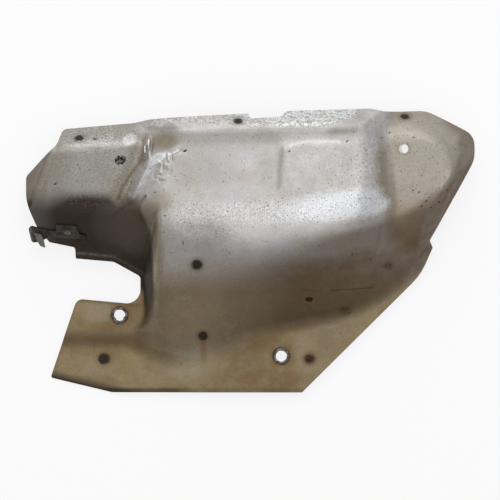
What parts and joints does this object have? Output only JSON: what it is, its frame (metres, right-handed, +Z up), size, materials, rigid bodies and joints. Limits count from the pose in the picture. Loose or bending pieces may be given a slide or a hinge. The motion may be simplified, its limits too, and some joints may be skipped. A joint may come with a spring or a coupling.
{
  "type": "exhaust heat shield",
  "caption": "Pressed sheet-metal exhaust manifold heat shield: domed barrel between stepped bolt seats, lower flange with crimped bushes, and a small riveted cable clip.",
  "frame": {"origin": "middle of the shell's length and width, on the bench that it rests on", "axes": "+X along the length towards the rounded right boss, +Y towards the raised lip, +Z up out of the domed side"},
  "size_m": [0.3404, 0.214, 0.0572],
  "materials": {
    "sheet": "worn aluminised sheet, heat-stained",
    "bush": "crimped, lightly rusted",
    "clip": "bent strip, grimy",
    "rivet": "set rivet, grimy"
  },
  "bodies": {
    "root": {"shield_shell": "sheet", "lower_left_bush": "bush", "lower_right_bush": "bush", "harness_clip": "clip", "clip_rivet": "rivet"}
  },
  "joints": []
}
